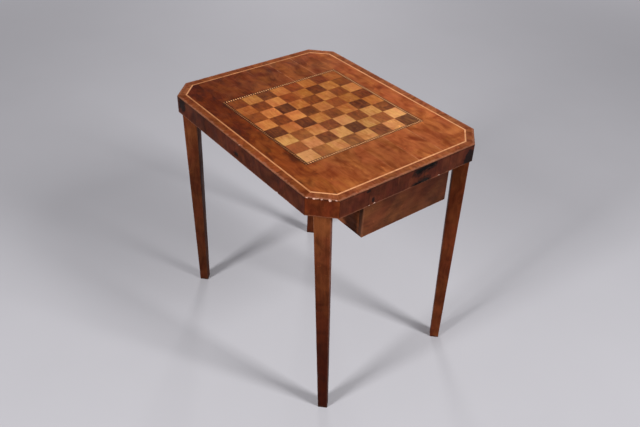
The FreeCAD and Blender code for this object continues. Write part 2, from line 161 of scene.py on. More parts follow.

# Painted light and shade as tints of the bands, lines, board, frieze, drawer front and legs, and hues of the
# squares
BAND_SHADE = {"left": (0.80, 0.68, 0.48), "far_end": (0.90, 0.80, 0.66)}
BANDING_LEFT_SHADE = (0.44, 0.36, 0.32)
BOARD_LIGHT_AND_SHADE = ((0.86, 0.72, 0.62), (1.12, 1.30, 1.55))
SQUARE_HUES = ((1.04, 0.95, 0.96), (0.97, 1.06, 1.03))
STRING_SHADE = {"left": (0.76, 0.70, 0.62), "far_end": (0.80, 0.75, 0.68)}
FRIEZE_LIGHT_AND_SHADE = {
    "left": (1.03, 0.98, 0.84),
    "drawer_left": (1.90, 1.62, 0.97),
    "drawer_end": (1.36, 1.34, 1.30),
    "drawer_right": (0.96, 0.96, 0.95),
    "far_left": (0.83, 0.77, 0.80),
}
FRONT_LIGHT_AND_SHADE = ((1.08, 1.00, 0.92), (2.05, 1.96, 1.66))
LEG_LIGHT_AND_SHADE = {
    "drawer_left": ((0.27, 0.13, 0.08), (1.25, 1.28, 1.15)),
    "drawer_right": ((1.10, 1.00, 0.90), (1.12, 0.98, 0.76)),
    "far_right": ((0.60, 0.54, 0.50), (1.10, 1.04, 0.92)),
    "far_left": ((0.52, 0.49, 0.50), (1.22, 1.26, 1.16)),
}

# Colours of grime on the feet and of rust
FOOT_GRIME = (0.040, 0.018, 0.011)
RUST = (0.090, 0.038, 0.018)

# Damage along an edge: place along it, level, half length and half height
TORN_VENEER = {
    "drawer_end": [
        (0.026, 0.7225, 0.017, 0.0086), (0.050, 0.7245, 0.020, 0.0074), (0.072, 0.7270, 0.016, 0.0060),
        (0.020, 0.6845, 0.014, 0.0058), (0.048, 0.6860, 0.021, 0.0088),
    ],
    "left": [(0.007, 0.6980, 0.011, 0.0060)],
}
CHIPS = {
    "drawer_end": [
        (0.102, 0.6830, 0.0050, 0.0036), (-0.117, 0.6830, 0.0044, 0.0048),
        (-0.134, 0.6830, 0.0044, 0.0030), (0.171, 0.6830, 0.0030, 0.0026),
    ],
    "left": [(0.022, 0.7345, 0.0030, 0.0026), (0.196, 0.6830, 0.0040, 0.0028)],
    "drawer_left": [
        (-0.0365, 0.7350, 0.0050, 0.0032), (-0.0200, 0.7345, 0.0048, 0.0052),
        (-0.0125, 0.7350, 0.0062, 0.0036), (-0.0015, 0.7345, 0.0034, 0.0054),
        (0.0170, 0.7340, 0.0050, 0.0068), (0.0330, 0.7350, 0.0046, 0.0038),
    ],
}
STAINS = {
    "drawer_end": [
        (0.214, 0.700, 0.022, 0.026), (-0.123, 0.697, 0.005, 0.007), (-0.139, 0.727, 0.008, 0.004),
    ],
    "left": [(-0.283, 0.716, 0.020, 0.020)],
}

# Chips: half lengths of the small ones, depth of a cut, its roughness, and the longest crumb dropped
CHIP_REACH = (0.0008, 0.0032)
CHIP_DEPTH = VENEER * 2.2
CHIP_ROUGHNESS = 0.35
CRUMB_SIZE = 0.02

# Modelling: share of a diagonal along X or Y, tolerances, the mitre between two edges of the top,
# rounding, and the legs' planed faces
DIAGONAL = math.sqrt(0.5)
TOUCH = 1e-6
NEAR = 1e-5
MITRE = math.radians(67.5)
ROUND_STEPS = 3
SMOOTH_ANGLE = math.radians(30)
LEG_CUTS = 30
LEG_END = 0.001
LEG_SEED = 3

# Studio: the floor fades into the backdrop between two distances from the table
FLOOR_SIZE = 30.0
FLOOR_FADE_START = 2.0
FLOOR_FADE_END = 4.5
BACKDROP_COLOUR = (0.95, 0.93, 1.0, 1.0)
SENSOR_WIDTH = 36.0


def colour_property(label, words, value):
    """Linear colour that a user may change."""
    return bpy.props.FloatVectorProperty(
        name=label, description=words, default=value, size=3, min=0.0, max=1.0, subtype="COLOR")


def length_property(label, words, value):
    """Length that a user may change."""
    return bpy.props.FloatProperty(name=label, description=words, default=value, min=0.0, unit="LENGTH")


def angle_property(label, words, degrees):
    """Angle that a user may change."""
    return bpy.props.FloatProperty(
        name=label, description=words, default=math.radians(degrees), subtype="ANGLE")


class ChessTableWoods(bpy.types.PropertyGroup):
    """Colours of the woods, each from its deepest to its palest figure."""

    field_deep: colour_property("Field deep", "Darkest figure of the mahogany field", (0.185, 0.035, 0.008))
    field_pale: colour_property("Field pale", "Palest figure of the mahogany field", (0.430, 0.128, 0.040))
    band_deep: colour_property(
        "Crossbanding deep", "Darkest figure of the crossbanding", (0.150, 0.035, 0.010))
    band_pale: colour_property(
        "Crossbanding pale", "Palest figure of the crossbanding", (0.350, 0.105, 0.038))
    string_deep: colour_property(
        "Stringing deep", "Darker stretches of the boxwood line", (0.590, 0.236, 0.098))
    string_pale: colour_property(
        "Stringing pale", "Paler stretches of the boxwood line", (0.830, 0.398, 0.188))
    light_deep: colour_property(
        "Light square deep", "Deepest tone of the light squares", (0.360, 0.115, 0.024))
    light_pale: colour_property(
        "Light square pale", "Palest tone of the light squares", (0.690, 0.305, 0.098))
    dark_deep: colour_property("Dark square deep", "Deepest tone of the dark squares", (0.088, 0.023, 0.010))
    dark_pale: colour_property("Dark square pale", "Palest tone of the dark squares", (0.350, 0.104, 0.026))
    block_pale: colour_property("Banding pale", "Pale blocks of the banding", (0.880, 0.390, 0.160))
    block_dark: colour_property("Banding dark", "Dark lines and blocks of the banding", (0.018, 0.005, 0.002))
    frieze_deep: colour_property("Frieze deep", "Darkest figure of the frieze", (0.034, 0.0075, 0.0038))
    frieze_pale: colour_property("Frieze pale", "Palest figure of the frieze", (0.090, 0.0215, 0.0105))
    leg_deep: colour_property("Leg deep", "Darkest figure of the legs", (0.070, 0.016, 0.006))
    leg_pale: colour_property("Leg pale", "Palest figure of the legs", (0.185, 0.050, 0.019))
    front_deep: colour_property(
        "Drawer front deep", "Darkest figure of the drawer's front", (0.034, 0.0105, 0.0055))
    front_pale: colour_property(
        "Drawer front pale", "Palest figure of the drawer's front", (0.112, 0.0355, 0.0160))
    side_deep: colour_property(
        "Drawer side deep", "Darkest figure of the drawer's sides", (0.160, 0.044, 0.015))
    side_pale: colour_property(
        "Drawer side pale", "Palest figure of the drawer's sides", (0.400, 0.122, 0.044))
    bare_deep: colour_property(
        "Bare wood deep", "Darkest figure of wood without polish", (0.180, 0.090, 0.040))
    bare_pale: colour_property(
        "Bare wood pale", "Palest figure of wood without polish", (0.460, 0.280, 0.140))
    raw_chip: colour_property("Raw chip", "Freshly broken wood under a chip", (0.800, 0.500, 0.385))
    rubbed: colour_property(
        "Rubbed arris", "Pale wood where the polish is rubbed away", (0.360, 0.150, 0.085))
    scorch: colour_property("Scorch", "Blackened glue and wood", (0.005, 0.004, 0.004))
    wax: colour_property("Wax", "Pale wax in the veneer joints", (0.600, 0.250, 0.120))
    steel: colour_property("Steel", "Dull steel of screws and nails", (0.170, 0.155, 0.140))


class ChessTableWear(bpy.types.PropertyGroup):
    """How worn the table is."""

    arris_round: length_property("Arris round", "Rounding of the top's outer arris", 0.0011)
    joint_gap: length_property("Joint gap", "Width of a joint between veneer leaves", 0.0002)
    leg_round: length_property("Leg arris round", "Rounding of the legs' arrises", 0.0017)
    leg_waver: length_property("Leg waver", "Unevenness of the legs' planed faces", 0.00012)
    drawer_round: length_property("Drawer arris round", "Rounding of the drawer's arrises", 0.0011)
    chip_spacing: length_property("Chip spacing", "Mean distance between small chips on an edge", 0.055)


class ChessTableStudio(bpy.types.PropertyGroup):
    """Camera, floor and lamps."""

    azimuth: angle_property("Azimuth", "Camera's turn round the table from its left side", 51.611)
    elevation: angle_property("Elevation", "Camera's angle above the floor", 36.197)
    roll: angle_property("Roll", "Camera's tilt to one side", 2.053)
    distance: length_property("Distance", "From camera to target", 2.17637)
    target: bpy.props.FloatVectorProperty(
        name="Target", description="Point in the middle of the picture", default=(0.0038, 0.0048, 0.3826),
        subtype="TRANSLATION", unit="LENGTH")
    lens: bpy.props.FloatProperty(
        name="Lens", description="Focal length on a 36 mm wide sensor", default=39.616, unit="CAMERA")
    floor: colour_property("Floor", "Plain pale floor where it is seen", (0.500, 0.492, 0.520))
    floor_bounce: colour_property(
        "Floor bounce", "Tone of the light that the floor throws back on the table", (0.165, 0.160, 0.180))
    ambient: bpy.props.FloatProperty(
        name="Ambient", description="Strength of the even light from all round", default=0.16, min=0.0)
    backdrop: bpy.props.FloatProperty(
        name="Backdrop", description="Strength of the background where it is seen", default=0.42, min=0.0)
    key_power: bpy.props.FloatProperty(
        name="Key power", description="Power of each of the two front lamps", default=92.0, min=0.0,
        unit="POWER")
    fill_power: bpy.props.FloatProperty(
        name="Fill power", description="Power of the lamp behind", default=42.0, min=0.0, unit="POWER")
    lamp_width: length_property("Lamp width", "Width of each lamp", 1.0)
    lamp_height: length_property("Lamp height", "Height of each lamp", 2.7)
    lamp_spread: angle_property("Lamp spread", "Width of each lamp's beam", 120.0)
    lamp_distance: length_property("Lamp distance", "From each lamp to the middle of the table", 5.0)
    left_key: angle_property("Left key", "Left lamp's turn round the table", 5.6)
    left_rise: angle_property("Left rise", "Left lamp's angle above the floor", 28.0)
    right_key: angle_property("Right key", "Right lamp's turn round the table", 110.0)
    right_rise: angle_property("Right rise", "Right lamp's angle above the floor", 35.0)
    fill_key: angle_property("Fill key", "Back lamp's turn round the table", 235.0)
    fill_rise: angle_property("Fill rise", "Back lamp's angle above the floor", 14.0)


class Finish:
    """A material under construction, with short forms for wiring its nodes."""

    def __init__(self, name):
        self.material = bpy.data.materials.new(name)
        self.material.use_nodes = True
        self.nodes = self.material.node_tree.nodes
        self.links = self.material.node_tree.links
        self.shader = self.nodes["Principled BSDF"]
        self.place = self.add("ShaderNodeTexCoord").outputs["Object"]

    def add(self, kind, *values, **settings):
        """Add a node, set it up and feed its first inputs in order."""
        node = self.nodes.new(kind)
        for name, value in settings.items():
            setattr(node, name, value)
        for socket, value in zip(node.inputs, values):
            self.feed(socket, value)
        return node

    def feed(self, socket, value):
        """Link a socket to an output, or set its value."""
        if isinstance(value, bpy.types.NodeSocket):
            self.links.new(value, socket)
        else:
            socket.default_value = value

    def math(self, operation, *values):
        """Result of one sum."""
        return self.add("ShaderNodeMath", *values, operation=operation).outputs[0]

    def plus(self, first, second):
        """Sum of two values."""
        return self.math("ADD", first, second)

    def minus(self, first, second):
        """First value less the second."""
        return self.math("SUBTRACT", first, second)

    def times(self, first, second):
        """Product of two values."""
        return self.math("MULTIPLY", first, second)

    def over(self, first, second):
        """First value divided by the second."""
        return self.math("DIVIDE", first, second)

    def times_plus(self, first, second, third):
        """Product of two values, and a third added to it."""
        return self.math("MULTIPLY_ADD", first, second, third)

    def absolute(self, value):
        """Value without its sign."""
        return self.math("ABSOLUTE", value)

    def radius(self, x, y):
        """Distance of a point from the middle."""
        return self.math("SQRT", self.times_plus(x, x, self.times(y, y)))

    def least(self, first, *others):
        """Smallest of several values."""
        for other in others:
            first = self.math("MINIMUM", first, other)
        return first

    def most(self, first, *others):
        """Largest of several values."""
        for other in others:
            first = self.math("MAXIMUM", first, other)
        return first

    def parts(self, place):
        """X, Y and Z of a place."""
        return self.add("ShaderNodeSeparateXYZ", place).outputs

    def join(self, x, y, z):
        """Place from its X, Y and Z."""
        return self.add("ShaderNodeCombineXYZ", x, y, z).outputs[0]

    def shift(self, place, offset):
        """Place moved by an offset."""
        return self.add("ShaderNodeVectorMath", place, offset, operation="ADD").outputs[0]

    def scaled(self, colour, factor):
        """Colour times a number."""
        node = self.add("ShaderNodeVectorMath", colour, operation="SCALE")
        self.feed(node.inputs["Scale"], factor)
        return node.outputs[0]

    def tinted(self, colour, tint):
        """Colour times another colour."""
        return self.add("ShaderNodeVectorMath", colour, tint, operation="MULTIPLY").outputs[0]

    def noise(self, place, lengths, detail=2.0, warp=0.0):
        """Noise about one half whose features have the given lengths along X, Y and Z."""
        scale = [1.0 / length for length in lengths]
        spread = self.add("ShaderNodeVectorMath", place, scale, operation="MULTIPLY").outputs[0]
        node = self.add("ShaderNodeTexNoise")
        for name, value in {"Vector": spread, "Scale": 1.0, "Detail": detail, "Distortion": warp}.items():
            self.feed(node.inputs[name], value)
        return node.outputs[0]

    def even_noise(self, size, detail):
        """Noise about one half whose features have one length in every direction."""
        return self.noise(self.place, (size,) * 3, detail)

    def chance(self, number):
        """Even random value from 0 to 1 for each whole number."""
        node = self.add("ShaderNodeTexWhiteNoise", noise_dimensions="1D")
        self.feed(node.inputs["W"], number)
        return node.outputs["Value"]

    def step(self, value, low, high):
        """Smooth step from 0 at low to 1 at high."""
        return self.add("ShaderNodeMapRange", value, low, high, interpolation_type="SMOOTHSTEP").outputs[0]

    def between(self, value, low, high):
        """Number from low to high as a value goes from 0 to 1."""
        return self.add("ShaderNodeMapRange", value, 0.0, 1.0, low, high).outputs[0]

    def blend(self, share, low, high):
        """Colour from low to high."""
        node = self.add("ShaderNodeMix", share, data_type="RGBA")
        for socket, value in ((node.inputs[6], low), (node.inputs[7], high)):
            self.feed(socket, value if isinstance(value, bpy.types.NodeSocket) else (*value, 1.0))
        return node.outputs[2]

    def surface(self, colour, smooth, rough, height, depth, gloss=0.05):
        """Finish the shader: colour, roughness over a range of patina, relief and gloss."""
        patina = self.step(self.even_noise(PATINA_SIZE, 4.0), 0.3, 0.7)
        self.feed(self.shader.inputs["Base Color"], colour)
        self.feed(self.shader.inputs["Roughness"], self.between(patina, smooth, rough))
        self.shader.inputs["Specular IOR Level"].default_value = gloss
        bump = self.add("ShaderNodeBump")
        bump.inputs["Distance"].default_value = depth
        self.feed(bump.inputs["Height"], height)
        self.links.new(bump.outputs[0], self.shader.inputs["Normal"])
        return self.material


def along_grain(finish, direction):
    """The object's own place, turned so that X runs along the grain."""
    x, y, z = finish.parts(finish.place)
    if direction == "width":
        return finish.join(y, x, z)
    if direction == "upright":
        return finish.join(z, x, y)
    if direction == "outward":
        outward = finish.plus(finish.absolute(x), finish.absolute(y))
        across = finish.minus(finish.absolute(x), finish.absolute(y))
        return finish.join(outward, across, z)
    return finish.place


def figure(finish, place, streak, cloud, fibre=0.0009, shares=(0.45, 1.2, 0.45)):
    """Wood figure with X along the grain: its tone about one half, and its fibres for relief."""
    drift = finish.noise(place, (cloud * 2.5, cloud * 1.4, cloud * 1.4), 1.0)
    bent = finish.shift(place, finish.join(0.0, finish.times(drift, streak * 5), 0.0))
    streaks = finish.noise(bent, (streak * STREAK_DRAW, streak, streak), 3.0)
    clouds = finish.noise(place, (cloud * 1.2, cloud, cloud), 3.0, 0.9)
    fibres = finish.noise(bent, (fibre * FIBRE_DRAW, fibre, fibre), 2.0)
    tone = 0.5
    for layer, share in zip((streaks, clouds, fibres), shares):
        tone = finish.times_plus(finish.minus(layer, 0.5), share, tone)
    return tone, fibres


def pores(finish, place, length=0.007, width=0.0006):
    """Share of dark pores, short ticks along the grain."""
    return finish.step(finish.noise(place, (length, width, width), 1.0), 0.60, 0.72)


def leaves(finish, run, first, length):
    """Number of the leaf along a run, and how close its nearest joint is."""
    count = finish.over(finish.minus(run, first), length)
    part = finish.math("FRACT", count)
    nearest = finish.times(finish.least(part, finish.minus(1.0, part)), length)
    return finish.math("FLOOR", count), nearest


def quarter(finish):
    """Number of the table's quarter: one of -4, -2, 2 and 4."""
    x, y, _ = finish.parts(finish.place)
    return finish.times_plus(finish.math("SIGN", y), 3.0, finish.math("SIGN", x))


def leaf_place(finish, place, number):
    """Place moved far off by the leaf's number, so that the figure breaks at each joint."""
    far = finish.times(finish.chance(number), FAR_OFF)
    return finish.shift(place, finish.join(far, far, far))


def even_leaf(run, usual):
    """Length of leaves that fill a run evenly, near the usual length."""
    return run / max(1, round(run / usual))


def from_outline(finish):
    """Distance in from the eight-sided outline of the top."""
    x, y, _ = finish.parts(finish.place)
    x = finish.absolute(x)
    y = finish.absolute(y)
    to_cant = finish.minus(HALF_LENGTH + HALF_WIDTH - CORNER_CUT, finish.plus(x, y))
    return finish.least(
        finish.minus(HALF_LENGTH, x), finish.minus(HALF_WIDTH, y),
        finish.times(to_cant, DIAGONAL))


def along_edge(finish, edge):
    """Place along an edge of the top, from its middle."""
    turn, middle, _ = EDGES[edge]
    direction = Vector((math.cos(math.radians(turn)), math.sin(math.radians(turn))))
    x, y, _ = finish.parts(finish.place)
    run = finish.times_plus(y, direction.y, finish.times(x, direction.x))
    return finish.minus(run, direction.dot(Vector(middle)))


def ragged(finish, distance, reach, raggedness, size=RAGGED_SIZE):
    """Share from 1 at an edge to 0 beyond a reach that a noise makes uneven."""
    uneven = finish.minus(finish.even_noise(size, 3.0), 0.5)
    return finish.step(finish.times_plus(uneven, raggedness, distance), reach, reach * 0.35)


def mark_share(finish, run, level, mark, rough=1.5):
    """Share of an uneven mark on an upright face, at (along, level, half length, half height)."""
    middle, height, reach, rise = mark
    along = finish.over(finish.minus(run, middle), reach)
    above = finish.over(finish.minus(level, height), rise)
    uneven = finish.minus(finish.even_noise(RAGGED_SIZE, 3.0), 0.5)
    return finish.step(finish.times_plus(uneven, rough, finish.radius(along, above)), 1.15, 0.75)


def larger(mark, longer, higher):
    """A mark made longer and higher about its middle."""
    along, level, reach, rise = mark
    return along, level, reach * longer, rise * higher


def faded(finish, colour, share, tints):
    """Colour times a tint that goes from the first to the second as a share goes from 0 to 1."""
    return finish.tinted(colour, finish.blend(share, *tints))


def dimmed(finish, colour, share, amount):
    """Colour made darker by an amount where a share is 1."""
    return finish.scaled(colour, finish.between(share, 1.0, 1.0 - amount))


def varied(finish, colour, number, spread):
    """Colour made a little brighter or darker for each whole number."""
    return finish.scaled(colour, finish.between(finish.chance(number), 1.0 - spread, 1.0 + spread))


def partly(finish, colour, share, amount, other):
    """Colour taken part of the way to another where a share is 1."""
    return finish.blend(finish.times(share, amount), colour, other)


def mottled(finish, colour, place, size):
    """Colour that drifts between a redder and a more golden tone from patch to patch."""
    patch = finish.step(finish.noise(place, (size * 1.3, size, size), 2.0, 0.6), 0.34, 0.66)
    redder = finish.tinted(colour, (0.93, 0.82, 0.86))
    return finish.blend(patch, redder, finish.tinted(colour, (1.05, 1.12, 1.02)))


def scuffs(finish, size):
    """Share of short curved scratches."""
    waves = finish.even_noise(size, 1.0)
    curve = finish.absolute(finish.minus(waves, 0.5))
    short = finish.step(finish.even_noise(size * 0.45, 1.0), 0.60, 0.66)
    return finish.times(finish.step(curve, 0.012, 0.004), short)


def aged(finish, colour):
    """Old polish: broad darker patina and a few pale scuffs."""
    patina = finish.step(finish.even_noise(AGE_PATCH, 3.0), 0.30, 0.70)
    colour = finish.scaled(colour, finish.between(patina, 0.88, 1.10))
    return partly(finish, colour, scuffs(finish, SCUFF_SIZE), 0.35, finish.scaled(colour, 2.2))


def mahogany(finish, place, tones, streak, cloud, patch, reach=0.85, shares=(0.45, 1.2, 0.45),
             pore=0.007, pore_shade=PORE_SHADE):
    """Colour of figured mahogany with X along the grain, and its fibres for relief."""
    tone, fibres = figure(finish, place, streak, cloud, shares=shares)
    colour = finish.blend(finish.step(tone, 1.0 - reach, reach), *tones)
    colour = mottled(finish, colour, place, patch)
    return dimmed(finish, colour, pores(finish, place, pore), pore_shade), fibres


def waxed_share(finish, joint):
    """Share of wax in the joints of the field, broken up, and fainter to the left."""
    y = finish.parts(finish.place)[1]
    broken = finish.step(finish.even_noise(0.03, 2.0), 0.30, 0.52)
    strength = finish.between(finish.step(y, *WAX_FADE), WAX_LEAST, 1.0)
    return finish.times(finish.step(joint, 0.0012, 0.0004), finish.times(broken, strength))


def field_veneer(name, woods, side):
    """Mottled mahogany on one side of the board. At both ends its leaves meet in pale waxed joints."""
    finish = Finish(name)
    x, y, _ = finish.parts(finish.place)
    joined = side.endswith("end")
    if joined:
        number, joint = leaves(finish, finish.most(y, FIRST_FIELD_LEAF), FIELD_JOINT, FIELD_LEAF)
        along = finish.step(y, -HALF_WIDTH, HALF_WIDTH)
    else:
        number = finish.math("SIGN", y)
        along = finish.step(x, HALF_LENGTH, -HALF_LENGTH)
    place = leaf_place(finish, finish.place, number)
    tones = (woods.field_deep, woods.field_pale)
    colour, fibres = mahogany(finish, place, tones, streak=0.010, cloud=0.045, patch=0.060)
    spread = FIELD_END_SPREAD if joined else FIELD_SIDE_SPREAD
    colour = varied(finish, colour, finish.plus(number, FIELD_SEED), spread)
    # Painted light and shade: the field is lighter or darker along each side
    colour = faded(finish, colour, along, FIELD_LIGHT_AND_SHADE[side])
    # Painted light and shade brought to one tone at the corner
    if side in FIELD_CORNER_LIGHT_AND_SHADE:
        axis, start, end, tint = FIELD_CORNER_LIGHT_AND_SHADE[side]
        colour = faded(finish, colour, finish.step((x, y)[axis], start, end), (UNTINTED, tint))
    blotch = finish.step(finish.noise(finish.place, BLOTCH_SIZE, 4.0, 0.5), 0.48, 0.66)
    colour = partly(finish, colour, blotch, FIELD_BLOTCHES[side], finish.tinted(colour, BLOTCH_TINT))
    if joined:
        colour = partly(finish, colour, waxed_share(finish, joint), 0.62, woods.wax)
    return finish.surface(aged(finish, colour), smooth=0.38, rough=0.54, height=fibres, depth=0.00006)


def crossbanding(name, woods, direction, tint=UNTINTED):
    """Mahogany with its grain across the band, worn pale along the outer arris."""
    finish = Finish(name)
    x, y, _ = finish.parts(finish.place)
    number = quarter(finish)
    joint = None
    if direction != "outward":
        run, length = (y, END_RUN) if direction == "length" else (x, SIDE_RUN)
        number, joint = leaves(finish, run, -length / 2, even_leaf(length, BAND_LEAF))
    place = leaf_place(finish, along_grain(finish, direction), number)
    tones = (woods.band_deep, woods.band_pale)
    colour, fibres = mahogany(finish, place, tones, streak=0.006, cloud=0.030, patch=0.035)
    # Painted shade from the band's tint, and a random tone for each leaf
    colour = varied(finish, finish.tinted(colour, tint), number, 0.10)
    if joint:
        colour = dimmed(finish, colour, finish.step(joint, 0.0008, 0.0002), 0.35)
    edge = from_outline(finish)
    colour = partly(finish, colour, ragged(finish, edge, 0.0072, 0.016), 0.55, woods.rubbed)
    colour = dimmed(finish, colour, ragged(finish, edge, 0.0016, 0.0070, size=0.005), 0.45)
    return finish.surface(aged(finish, colour), smooth=0.40, rough=0.56, height=fibres, depth=0.00006)


def stringing(name, woods, tint=UNTINTED):
    """Thin pale boxwood line, dirty along both joints."""
    finish = Finish(name)
    tone, fibres = figure(finish, finish.place, streak=0.004, cloud=0.020, shares=(0.7, 0.8, 0.4))
    colour = finish.blend(finish.step(tone, 0.2, 0.8), woods.string_deep, woods.string_pale)
    middle = BAND_WIDTH + STRING_WIDTH / 2
    off_middle = finish.absolute(finish.minus(from_outline(finish), middle))
    dirt = finish.step(off_middle, STRING_WIDTH * 0.38, STRING_WIDTH * 0.5)
    # Painted shade from the line's tint, and dirt along both joints
    colour = dimmed(finish, finish.tinted(colour, tint), dirt, 0.35)
    return finish.surface(aged(finish, colour), smooth=0.40, rough=0.56, height=fibres, depth=0.00004)


def board_squares(name, deep, pale, spread):
    """Squares of the board, each cut from another part of the veneer."""
    finish = Finish(name)
    x, y, _ = finish.parts(finish.place)
    column, near_x = leaves(finish, x, -SQUARES_HALF, SQUARE)
    row, near_y = leaves(finish, y, -SQUARES_HALF, SQUARE)
    number = finish.times_plus(row, SQUARES, column)
    place = leaf_place(finish, finish.place, number)
    tone, fibres = figure(finish, place, streak=0.005, cloud=0.020, shares=(0.6, 0.8, 0.4))
    tone = finish.times_plus(finish.minus(finish.chance(number), 0.5), spread, tone)
    colour = finish.blend(finish.step(tone, 0.05, 0.95), deep, pale)
    colour = faded(finish, colour, finish.chance(finish.plus(number, HUE_SEED)), SQUARE_HUES)
    colour = mottled(finish, colour, place, 0.040)
    colour = dimmed(finish, colour, pores(finish, place, 0.005), PORE_SHADE)
    colour = dimmed(finish, colour, finish.step(finish.least(near_x, near_y), 0.0009, 0.0002), 0.30)
    # Painted light and shade: darker at the board's far part, lighter at its drawer end
    colour = faded(finish, colour, finish.step(x, -SQUARE, SQUARES_HALF), BOARD_LIGHT_AND_SHADE)
    return finish.surface(aged(finish, colour), smooth=0.40, rough=0.56, height=fibres, depth=0.00005)


def banding(name, colour, spread):
    """Blocks or lines of the banding, each a little different, dirty at their ends, with painted shade on the
    left.
    """
    finish = Finish(name)
    x, y, _ = finish.parts(finish.place)
    cell = finish.math("FLOOR", finish.times(finish.times_plus(y, CELL_SLANT, x), CELLS_PER_METRE))
    tone, fibres = figure(finish, finish.place, streak=0.003, cloud=0.012, shares=(0.6, 0.6, 0.5))
    shade = varied(finish, finish.scaled(colour, finish.between(tone, 0.70, 1.30)), cell, spread)
    outward = finish.most(finish.absolute(x), finish.absolute(y))
    off_middle = finish.absolute(finish.minus(outward, (SQUARES_HALF + BOARD_HALF) / 2))
    shade = dimmed(finish, shade, finish.step(off_middle, *BANDING_DIRT), 0.55)
    # Painted shade over the banding on the left
    on_left = finish.step(y, -SQUARES_HALF, -SQUARES_HALF - 0.001)
    shade = faded(finish, shade, on_left, (UNTINTED, BANDING_LEFT_SHADE))
    return finish.surface(shade, smooth=0.40, rough=0.56, height=fibres, depth=0.00004)


def frieze_veneer(name, woods, edge):
    """Upright mahogany leaves with dark joints and stains, painted light and shade on each face, painted
    shade under the top's arris, and rubbed pale at the foot.
    """
    finish = Finish(name)
    z = finish.parts(finish.place)[2]
    turn, _, length = EDGES[edge]
    run = along_edge(finish, edge)
    number, joint = leaves(finish, run, -length / 2, even_leaf(length, FRIEZE_LEAF))
    number = finish.plus(number, turn)
    place = leaf_place(finish, along_grain(finish, "upright"), number)
    tones = (woods.frieze_deep, woods.frieze_pale)
    colour, fibres = mahogany(finish, place, tones, streak=0.008, cloud=0.036, patch=0.045, reach=0.88)
    colour = varied(finish, colour, number, 0.14)
    # Painted light and shade: each face of the frieze lighter or darker as the light falls on it
    colour = finish.tinted(colour, FRIEZE_LIGHT_AND_SHADE.get(edge, UNTINTED))
    colour = dimmed(finish, colour, finish.step(joint, 0.0010, 0.0003), 0.40)
    # Painted shade: the frieze darker just under the top's arris
    top = ragged(finish, finish.minus(TOP_LEVEL, z), 0.0060, 0.0070)
    colour = dimmed(finish, colour, top, 0.50)
    foot = ragged(finish, finish.minus(z, FRIEZE_BASE), 0.0030, 0.0060)
    colour = partly(finish, colour, foot, 0.35, woods.rubbed)
    for mark in STAINS.get(edge, ()):
        colour = partly(finish, colour, mark_share(finish, run, z, mark), 0.86, woods.scorch)
    for mark in TORN_VENEER.get(edge, ()):
        halo = mark_share(finish, run, z, larger(mark, 1.3, 1.9))
        colour = partly(finish, colour, halo, 0.60, woods.scorch)
    return finish.surface(aged(finish, colour), smooth=0.42, rough=0.58, height=fibres, depth=0.00008)


def leg_wood(name, woods, corner, tints):
    """Solid mahogany with upright grain, worn along the arrises, at the foot and under the joint."""
    finish = Finish(name)
    x, y, z = finish.parts(finish.place)
    foot, foot_half = leg_section(corner, 0.0)
    head, head_half = leg_section(corner, FRIEZE_BASE)
    rise = finish.over(z, FRIEZE_BASE)
    off_x = finish.minus(finish.absolute(x), finish.between(rise, foot.x, head.x))
    off_y = finish.minus(finish.absolute(y), finish.between(rise, foot.y, head.y))
    outward = finish.times(finish.plus(off_x, off_y), DIAGONAL)
    sideways = finish.times(finish.minus(off_y, off_x), DIAGONAL)
    from_middle = finish.least(finish.absolute(outward), finish.absolute(sideways))
    arris = finish.minus(finish.between(rise, foot_half, head_half), from_middle)
    place = leaf_place(finish, finish.join(z, outward, sideways), quarter(finish))
    tones = (woods.leg_deep, woods.leg_pale)
    colour, fibres = mahogany(
        finish, place, tones, streak=0.007, cloud=0.040, patch=0.060, reach=0.90, shares=(0.6, 0.9, 0.3),
        pore=0.010, pore_shade=0.24)
    # Painted light and shade: each leg's tint changes from its foot to its head, and differs from leg to leg
    colour = faded(finish, colour, finish.times(rise, rise), tints)
    worn = finish.scaled(woods.rubbed, finish.between(rise, 0.35, 1.0))
    colour = partly(finish, colour, ragged(finish, arris, 0.0024, 0.0060), 0.22, worn)
    joint = ragged(finish, finish.minus(FRIEZE_BASE, z), 0.0030, 0.0030)
    colour = partly(finish, colour, joint, 0.55, woods.rubbed)
    colour = partly(finish, colour, ragged(finish, z, 0.008, 0.014), 0.6, FOOT_GRIME)
    return finish.surface(aged(finish, colour), smooth=0.42, rough=0.58, height=fibres, depth=0.00009)


def drawer_front_wood(name, woods):
    """Dull mottled mahogany with painted light and shade across it, rubbed along its edges, with darker end
    grain and back that are partly painted shade.
    """
    finish = Finish(name)
    x, y, z = finish.parts(finish.place)
    place = along_grain(finish, "width")
    tones = (woods.front_deep, woods.front_pale)
    colour, fibres = mahogany(
        finish, place, tones, streak=0.010, cloud=0.060, patch=0.080, shares=(0.3, 0.9, 0.3))
    # Painted light and shade: lighter towards the lower left, darker towards the upper right
    sideways = finish.step(y, DRAWER_HIGH.y, DRAWER_LOW.y)
    downward = finish.step(z, DRAWER_HIGH.z, DRAWER_LOW.z)
    glow = finish.times(sideways, finish.between(downward, 0.35, 1.0))
    colour = faded(finish, colour, glow, FRONT_LIGHT_AND_SHADE)
    edge = finish.least(
        finish.minus(y, DRAWER_LOW.y), finish.minus(DRAWER_HIGH.y, y),
        finish.minus(z, DRAWER_LOW.z), finish.minus(DRAWER_HIGH.z, z))
    colour = partly(finish, colour, ragged(finish, edge, 0.0040, 0.0060), 0.28, woods.rubbed)
    # Darker end grain and back of the front: partly the end grain's own tone, partly painted shade
    end_grain_and_shade = finish.step(x, DRAWER_HIGH.x - 0.0020, DRAWER_HIGH.x - 0.0040)
    colour = dimmed(finish, colour, end_grain_and_shade, 0.55)
    return finish.surface(aged(finish, colour), smooth=0.46, rough=0.62, height=fibres, depth=0.00008)


